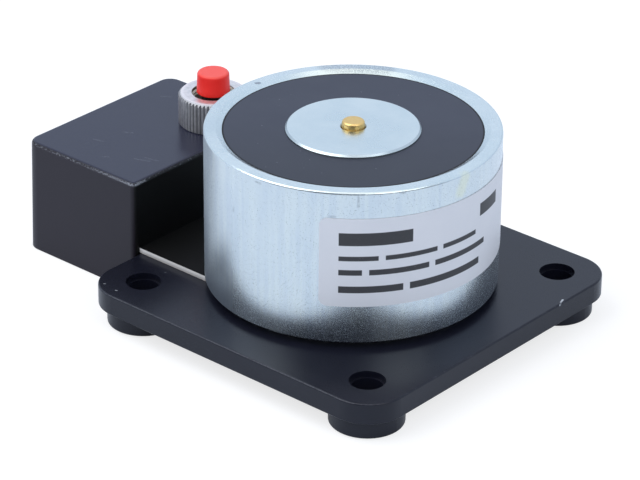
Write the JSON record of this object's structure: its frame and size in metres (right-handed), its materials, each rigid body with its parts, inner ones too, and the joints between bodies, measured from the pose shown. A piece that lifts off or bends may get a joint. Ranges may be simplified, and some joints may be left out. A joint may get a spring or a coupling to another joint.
{
  "type": "holding electromagnet",
  "caption": "Door-holding electromagnet: zinc-plated pot magnet on a black cast wall plate, with a covered terminal board, red release push button and sprung brass ejector pin.",
  "frame": {"origin": "on the pot's axis, in the plane of the wall that the feet stand on, at the middle of the fixing holes", "axes": "+Z out of the wall along the pot's axis, -X towards the terminal cover"},
  "size_m": [0.12, 0.0844, 0.0479],
  "materials": {
    "plate_paint": "satin black paint, fine grain, chipped at the edge",
    "plain_steel": "zinc-plated screw",
    "board": "black solder mask, pale cut edge",
    "pot_zinc": "bluish zinc plating, satin with a fine sparkle",
    "pole_zinc": "bluish zinc plating, turned face",
    "former_plastic": "natural nylon",
    "copper_wire": "enamelled copper",
    "sleeve_plastic": "insulating sleeve",
    "resin": "cast resin, soft sheen",
    "pin_brass": "turned brass",
    "spring_wire": "drawn spring wire",
    "label_film": "pale silver film with plain dark bars, no words",
    "cover_plastic": "moulded black plastic, pale scuffed edges",
    "block_plastic": "moulded green plastic",
    "contact_metal": "plain brass strip",
    "diode_case": "moulded black case",
    "switch_plastic": "moulded black plastic",
    "bush_nickel": "nickel-plated thread",
    "button_red": "moulded red plastic",
    "nut_nickel": "knurled, nickel-plated"
  },
  "bodies": {
    "base": {"base_plate": "plate_paint", "fixing_screw": "plain_steel", "circuit_board": "board", "magnet_pot": "pot_zinc", "core_pole": "pole_zinc", "coil_bobbin": "former_plastic", "coil_winding": "copper_wire", "coil_leads": "copper_wire", "lead_sleeves": "sleeve_plastic", "potting_resin": "resin", "ejector_spring": "spring_wire", "pot_label": "label_film", "terminal_cover": "cover_plastic", "terminal_block": "block_plastic", "terminal_clamps": "contact_metal", "terminal_screws": "plain_steel", "suppressor_diode": "diode_case", "switch_housing": "switch_plastic", "switch_bush": "bush_nickel", "switch_contacts": "contact_metal", "button_spring": "spring_wire", "ring_nut": "nut_nickel"},
    "button": {"push_button": "button_red", "button_plunger": "switch_plastic", "contact_bridge": "contact_metal"},
    "ejector": {"ejector_pin": "pin_brass"}
  },
  "joints": [
    {"name": "button_press", "type": "slide", "parent": "base", "child": "button", "axis": [0, 0, -1], "range_m": [0, 0.0025], "stiffness_N_per_m": 500, "springref_m": -0.002, "deforming": ["button_spring"]},
    {"name": "ejector_press", "type": "slide", "parent": "base", "child": "ejector", "axis": [0, 0, -1], "range_m": [0, 0.0014], "stiffness_N_per_m": 1500, "springref_m": -0.002, "deforming": ["ejector_spring"]}
  ]
}
